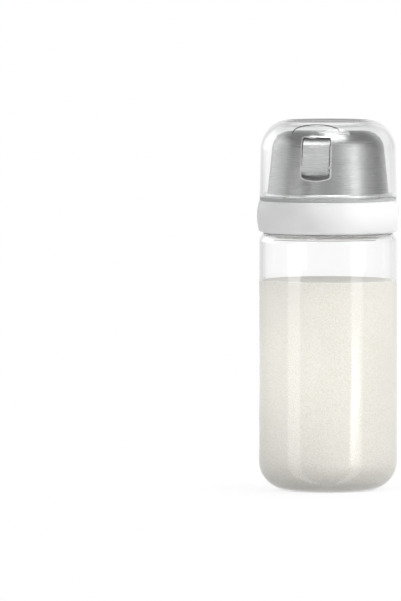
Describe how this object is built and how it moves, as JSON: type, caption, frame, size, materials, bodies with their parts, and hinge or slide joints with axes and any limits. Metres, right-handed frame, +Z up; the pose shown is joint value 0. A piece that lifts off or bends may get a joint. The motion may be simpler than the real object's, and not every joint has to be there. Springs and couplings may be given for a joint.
{
  "type": "sugar dispenser with flap",
  "caption": "Tall glass sugar jar with a screw-on pouring head: brushed steel dome with a swinging pour flap, white collar and a clear lift-off dust cover.",
  "frame": {"origin": "on the jar's axis, at the level that the jar stands on", "axes": "+Z up along the jar's axis, the pour spout and its flap face -Y, the flap's pin lies along X"},
  "size_m": [0.0672, 0.0672, 0.175],
  "materials": {
    "glass": "clear borosilicate glass, fire-polished",
    "sugar": null,
    "clear_plastic": "clear moulded plastic, high gloss",
    "white_plastic": "white moulded plastic, satin gloss",
    "brushed_steel": "stainless steel brushed round the dome",
    "flap_steel": "stainless steel, finely brushed across",
    "polished_steel": "polished stainless steel",
    "grey_silicone": "matt grey silicone",
    "clear_silicone": "matt translucent silicone"
  },
  "bodies": {
    "jar": {"glass_jar": "glass", "sugar": "sugar"},
    "gasket": {"jar_gasket": "clear_silicone"},
    "head": {"inner_cap": "white_plastic", "collar": "white_plastic", "cover_seal": "grey_silicone", "steel_dome": "brushed_steel", "spout_frame": "polished_steel", "flap_pin": "polished_steel"},
    "flap": {"flap": "flap_steel"},
    "cover": {"clear_cover": "clear_plastic"}
  },
  "joints": [
    {"name": "head_lift", "type": "slide", "parent": "jar", "child": "gasket", "axis": [0, 0, 1], "range_m": [0, 0.06]},
    {"name": "head_turn", "type": "hinge", "parent": "gasket", "child": "head", "pos_m": [0, 0, 0.1337], "axis": [0, 0, 1], "range_deg": [0, 270]},
    {"name": "flap_swing", "type": "hinge", "parent": "head", "child": "flap", "pos_m": [0, -0.02003, 0.16123], "axis": [-1, 0, 0], "range_deg": [0, 60]},
    {"name": "cover_lift", "type": "slide", "parent": "head", "child": "cover", "axis": [0, 0, 1], "range_m": [0, 0.12]}
  ],
  "couplings": [
    {"joint": "flap_swing", "follows": "cover_lift", "rad_per_m": 8.7266}
  ]
}
